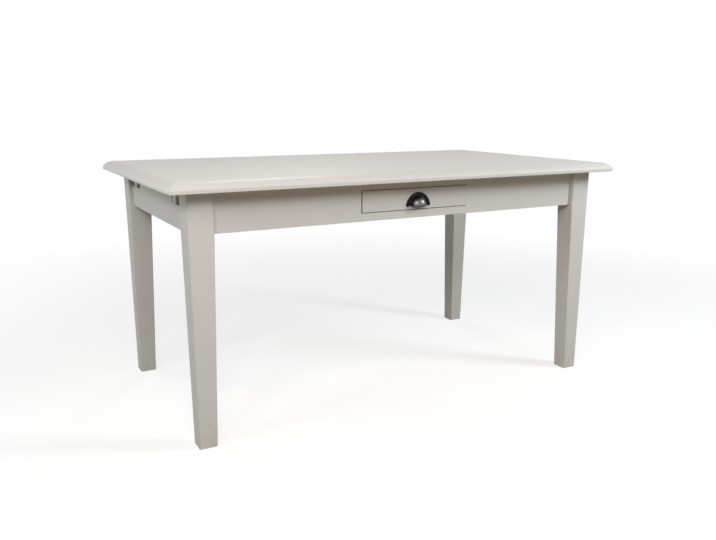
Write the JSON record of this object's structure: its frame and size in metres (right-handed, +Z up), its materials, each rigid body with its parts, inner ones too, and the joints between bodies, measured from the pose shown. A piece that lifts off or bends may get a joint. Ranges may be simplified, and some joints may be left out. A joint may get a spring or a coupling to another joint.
{
  "type": "kitchen table with drawer",
  "caption": "Painted rectangular kitchen table with tapered legs, a shallow drawer with a cup pull in the front apron, and sliding leaf-support arms at both ends.",
  "frame": {"origin": "on the floor under the centre of the table top", "axes": "+X along the length, to the right as seen from the drawer side; -Y out of the drawer side; +Z up"},
  "size_m": [1.6, 0.9, 0.78],
  "materials": {
    "top_paint": "satin off-white paint",
    "frame_paint": "satin off-white paint",
    "drawer_paint": "satin off-white paint",
    "arm_paint": "satin off-white paint",
    "bare_beech": "bare sanded beech",
    "drawer_wood": "clear lacquered pine",
    "plywood": "bare plywood",
    "pull_metal": "blackened, rubbed bright on the dome",
    "zinc_steel": "zinc plated"
  },
  "bodies": {
    "frame": {"apron_back": "frame_paint", "apron_front": "frame_paint", "apron_left": "frame_paint", "apron_right": "frame_paint", "bearer_left": "bare_beech", "bearer_right": "bare_beech", "brace_back_left": "bare_beech", "brace_back_right": "bare_beech", "brace_front_left": "bare_beech", "brace_front_right": "bare_beech", "brace_screws": "zinc_steel", "bracket_screws": "zinc_steel", "hanger_bolts": "zinc_steel", "hex_nuts": "zinc_steel", "leg_back_left": "frame_paint", "leg_back_right": "frame_paint", "leg_front_left": "frame_paint", "leg_front_right": "frame_paint", "runner_left": "bare_beech", "runner_right": "bare_beech", "runner_screws": "zinc_steel", "table_top": "top_paint", "top_brackets": "zinc_steel", "washers": "zinc_steel"},
    "drawer": {"drawer_front": "drawer_paint", "drawer_side_left": "drawer_wood", "drawer_side_right": "drawer_wood", "drawer_back": "drawer_wood", "drawer_bottom": "plywood", "cup_pull": "pull_metal", "pull_screws": "pull_metal"},
    "arm_left_front": {"arm_left_front": "arm_paint", "arm_peg_left_front": "bare_beech"},
    "arm_left_back": {"arm_left_back": "arm_paint", "arm_peg_left_back": "bare_beech"},
    "arm_right_front": {"arm_right_front": "arm_paint", "arm_peg_right_front": "bare_beech"},
    "arm_right_back": {"arm_right_back": "arm_paint", "arm_peg_right_back": "bare_beech"}
  },
  "joints": [
    {"name": "drawer_slide", "type": "slide", "parent": "frame", "child": "drawer", "axis": [0, -1, 0], "range_m": [0, 0.25]},
    {"name": "arm_left_front_slide", "type": "slide", "parent": "frame", "child": "arm_left_front", "axis": [-1, 0, 0], "range_m": [0, 0.385]},
    {"name": "arm_left_back_slide", "type": "slide", "parent": "frame", "child": "arm_left_back", "axis": [-1, 0, 0], "range_m": [0, 0.385]},
    {"name": "arm_right_front_slide", "type": "slide", "parent": "frame", "child": "arm_right_front", "axis": [1, 0, 0], "range_m": [0, 0.385]},
    {"name": "arm_right_back_slide", "type": "slide", "parent": "frame", "child": "arm_right_back", "axis": [1, 0, 0], "range_m": [0, 0.385]}
  ]
}
